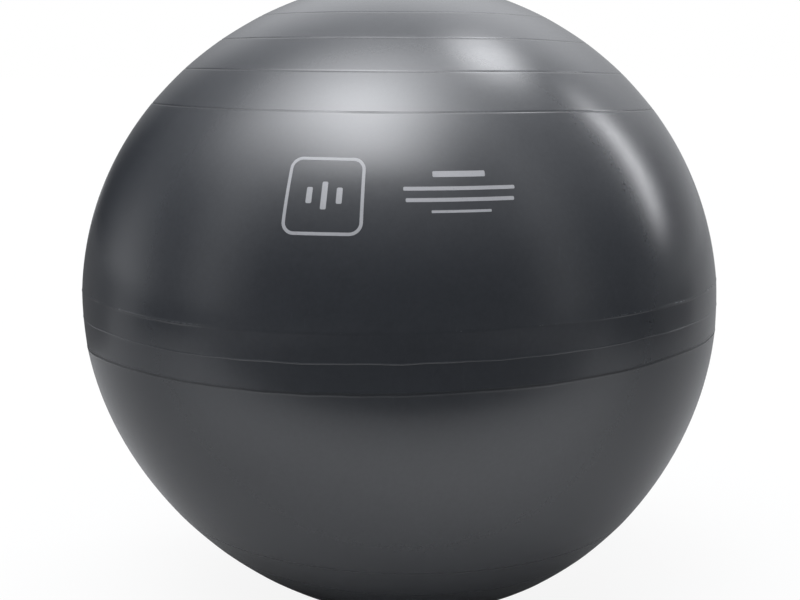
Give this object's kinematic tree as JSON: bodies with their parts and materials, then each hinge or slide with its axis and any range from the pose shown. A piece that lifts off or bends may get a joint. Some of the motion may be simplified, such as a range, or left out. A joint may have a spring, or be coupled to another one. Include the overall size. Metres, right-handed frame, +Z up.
{
  "type": "exercise ball",
  "caption": "Large inflated PVC sitting and exercise ball with concentric grip rings, a flush valve seat and a push-in valve plug that pulls out.",
  "frame": {"origin": "centre of the small flat at the bottom of the ball, where it rests on the floor", "axes": "+Z up along the axis of the grip rings and of the valve, -Y towards the printed side, +X to the right of someone who faces the print"},
  "size_m": [0.6508, 0.6508, 0.6495],
  "materials": {
    "skin": "satin",
    "seat": "satin",
    "plug": "satin",
    "print": "matte"
  },
  "bodies": {
    "ball": {"ball_shell": "skin", "valve_seat": "seat"},
    "plug": {"valve_plug": "plug"}
  },
  "joints": [
    {"name": "plug_pull", "type": "slide", "parent": "ball", "child": "plug", "axis": [0, 0, 1], "range_m": [0, 0.03]}
  ]
}
